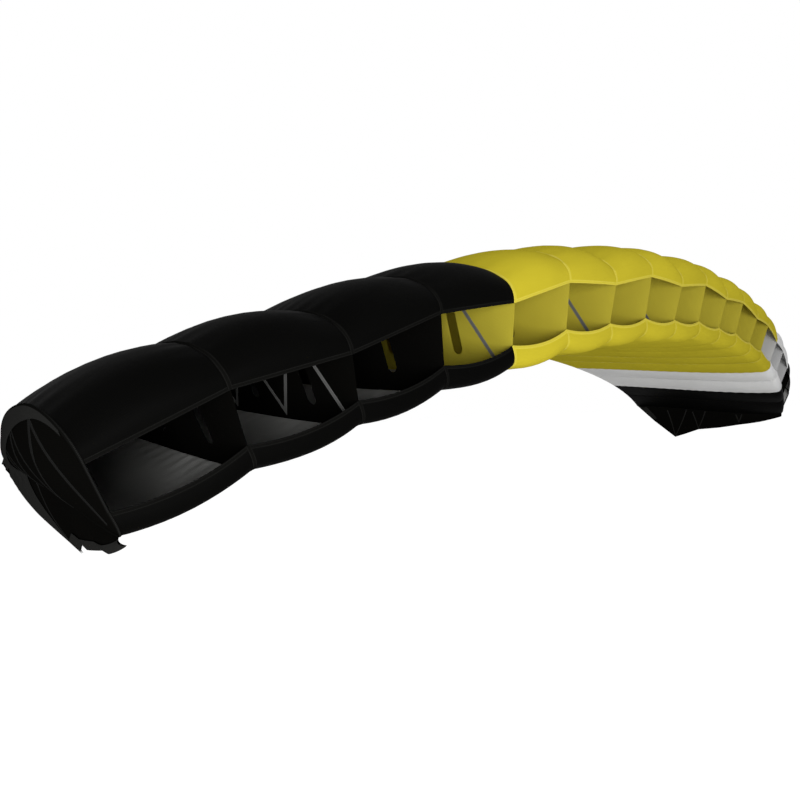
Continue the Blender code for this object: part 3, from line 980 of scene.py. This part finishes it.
def facing_bands():
    """Three bands: over the top from the front to the tail, down the rear, and forward along the foot."""
    top = TIP_LINES["top"][TIP_LINES["top"][:, 0] > 0]
    tail, rear, last = top[-1], STABILISER[4] * TIP_SCALE, STABILISER[3] * TIP_SCALE
    share = np.linspace(0, 1, DOWN_STEPS)[:, None]
    down = np.vstack((tail + (rear - tail) * share[:-1], rear + (last - rear) * share))
    back = np.linspace(last[0], STABILISER[0, 0] * TIP_SCALE, FOOT_STEPS)
    foot = np.stack((back, foot_height(back)), axis=-1)
    width = FACING_WIDTH
    return {"top": (top, widths_between(width["front"], width["tail"], len(top), FACING_POWER["top"])),
            "rear": (down, widths_between(width["rear"], width["last"], len(down), FACING_POWER["rear"])),
            "foot": (foot, np.linspace(width["last"], width["foot"], len(foot)))}


for rib in (0, RIBS):
    lay_tape(f"tip_tape_{rib:02d}", [f"tape_{rib:02d}"], rib, tip_tape_path(), TAPE_WIDTH, TIP_TAPE_CLOTH,
             outboard(rib, LAYER))
    for letter, corner in zip("BCD", STABILISER[1:4] * TIP_SCALE):
        lay_tape(f"foot_v_{rib:02d}_{letter}", [f"foot_tape_{rib:02d}_{letter}"], rib,
                 foot_tape_path(corner), FOOT_TAPE_WIDTH, FOOT_TAPE_CLOTH,
                 outboard(rib, -LAYER))
    for k, (where, (edge_path, widths)) in enumerate(facing_bands().items()):
        flat, uv = band(edge_path, widths)
        made, middle = tip_sheet(f"facing_{where}_{rib:02d}", rib, flat, CLOTH, [FACING_CLOTH],
                                 layer=FACING_LAYER + FACING_STEP * k, uv=uv)
        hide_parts(f"facing_{rib:02d}")
        declare(middle)
print("tip tapes and facings laid")

# %% [markdown]
# The wing hangs in the air, so the floor is far below it and very pale. It glows, brightly to the camera
# but little to the cloth, so it looks white and yet leaves the underside in shade. Light comes softly
# from all round, with a broad light above and a second one low in front, which reaches under the nose and
# into the inlets as bright ground would.

# %% Floor, light and world
FLOOR_LEVEL = -3.2
FLOOR_SIDE = 160.0
FLOOR_GREY = (0.72, 0.72, 0.72, 1)
FLOOR_FINISH = (0.9, 0.1)  # roughness and gloss
FLOOR_GLOW = {"seen": 0.62, "on cloth": 0.12}
SKY_GLOW = {"seen": 1.0, "on cloth": 0.55}
WHITE = (1, 1, 1, 1)
# each light's name, place, aim, side and power
LIGHTS = (("above", (0.5, -1.5, 4.5), (0.5, 0.2, 0), 5.0, 100),
          ("low in front", (-4.9, -4.8, -1.3), (0.4, 0, -0.1), 2.6, 400))


def make_floor():
    """A square that glows more to the camera than to the cloth."""
    half = FLOOR_SIDE / 2
    corners = np.array(((-half, -half), (half, -half), (half, half), (-half, half)))
    mesh = bpy.data.meshes.new("floor")
    mesh.from_pydata([(x, y, FLOOR_LEVEL) for x, y in corners], [], [(0, 1, 2, 3)])
    made = bpy.data.objects.new("floor", mesh)
    bpy.context.scene.collection.objects.link(made)
    paint, tree, shader = start_material("pale floor", *FLOOR_FINISH)
    shader.inputs["Base Color"].default_value = FLOOR_GREY
    shader.inputs["Emission Color"].default_value = WHITE
    path = node(tree, "ShaderNodeLightPath")
    glow = ramp_of(tree, path.outputs["Is Camera Ray"], FLOOR_GLOW["on cloth"], FLOOR_GLOW["seen"])
    tree.links.new(glow, shader.inputs["Emission Strength"])
    mesh.materials.append(paint)


def soft_light(name, place_at, aim, side, power):
    """A square light at a point, turned to face another."""
    lamp = bpy.data.lights.new(name, "AREA")
    lamp.size = side
    lamp.energy = power
    made = bpy.data.objects.new(name, lamp)
    back = np.array(place_at, float) - np.array(aim, float)
    back /= np.linalg.norm(back)
    across = np.cross((0, 0, 1), back)
    across /= np.linalg.norm(across)
    turn = np.column_stack((across, np.cross(back, across), back))
    made.matrix_world = Matrix.Translation(place_at) @ Matrix(turn.tolist()).to_4x4()
    bpy.context.scene.collection.objects.link(made)


def make_world():
    """White all round, brighter to the camera than to the cloth."""
    world = bpy.data.worlds.new("studio")
    world.use_nodes = True
    tree = world.node_tree
    soft, seen = tree.nodes["Background"], node(tree, "ShaderNodeBackground")
    for glow, where in ((soft, "on cloth"), (seen, "seen")):
        glow.inputs["Color"].default_value = WHITE
        glow.inputs["Strength"].default_value = SKY_GLOW[where]
    both = node(tree, "ShaderNodeMixShader")
    path = node(tree, "ShaderNodeLightPath")
    tree.links.new(path.outputs["Is Camera Ray"], both.inputs["Fac"])
    tree.links.new(soft.outputs[0], both.inputs[1])
    tree.links.new(seen.outputs[0], both.inputs[2])
    tree.links.new(both.outputs[0], tree.nodes["World Output"].inputs["Surface"])
    bpy.context.scene.world = world


make_floor()
make_world()
for light in LIGHTS:
    soft_light(*light)
bpy.context.scene.view_settings.view_transform = "Standard"
print("floor at", FLOOR_LEVEL)

# %% [markdown]
# The camera stands low at one tip and looks along the wing, a little in front of it. Its direction is
# kept as three angles, because each is easy to change on its own: yaw turns it, pitch tips it, roll
# leans it.

# %% Camera
CAMERA_PLACE = (-3.2874, -1.8262, -0.3998)
YAW, PITCH, ROLL = 0.7697, 0.0096, -0.0548
LENS = 24.03
SENSOR = 36.0
SIDE_SHIFT = -0.05
FARTHEST = 400


def camera_axes(yaw, pitch, roll):
    """Right, up and backwards: yaw turns from +Y towards +X, roll turns right towards up."""
    forward = np.array((np.sin(yaw) * np.cos(pitch), np.cos(yaw) * np.cos(pitch), np.sin(pitch)))
    level = np.cross(forward, (0, 0, 1))
    level /= np.linalg.norm(level)
    up = np.cross(level, forward)
    right = level * np.cos(roll) + up * np.sin(roll)
    up = -level * np.sin(roll) + up * np.cos(roll)
    return np.column_stack((right, up, -forward))


eye = bpy.data.cameras.new("camera")
eye.lens = LENS
eye.sensor_width = SENSOR
eye.shift_x = SIDE_SHIFT
eye.clip_end = FARTHEST
camera = bpy.data.objects.new("camera", eye)
turn = Matrix(camera_axes(YAW, PITCH, ROLL).tolist()).to_4x4()
camera.matrix_world = Matrix.Translation(CAMERA_PLACE) @ turn
bpy.context.scene.collection.objects.link(camera)
bpy.context.scene.camera = camera
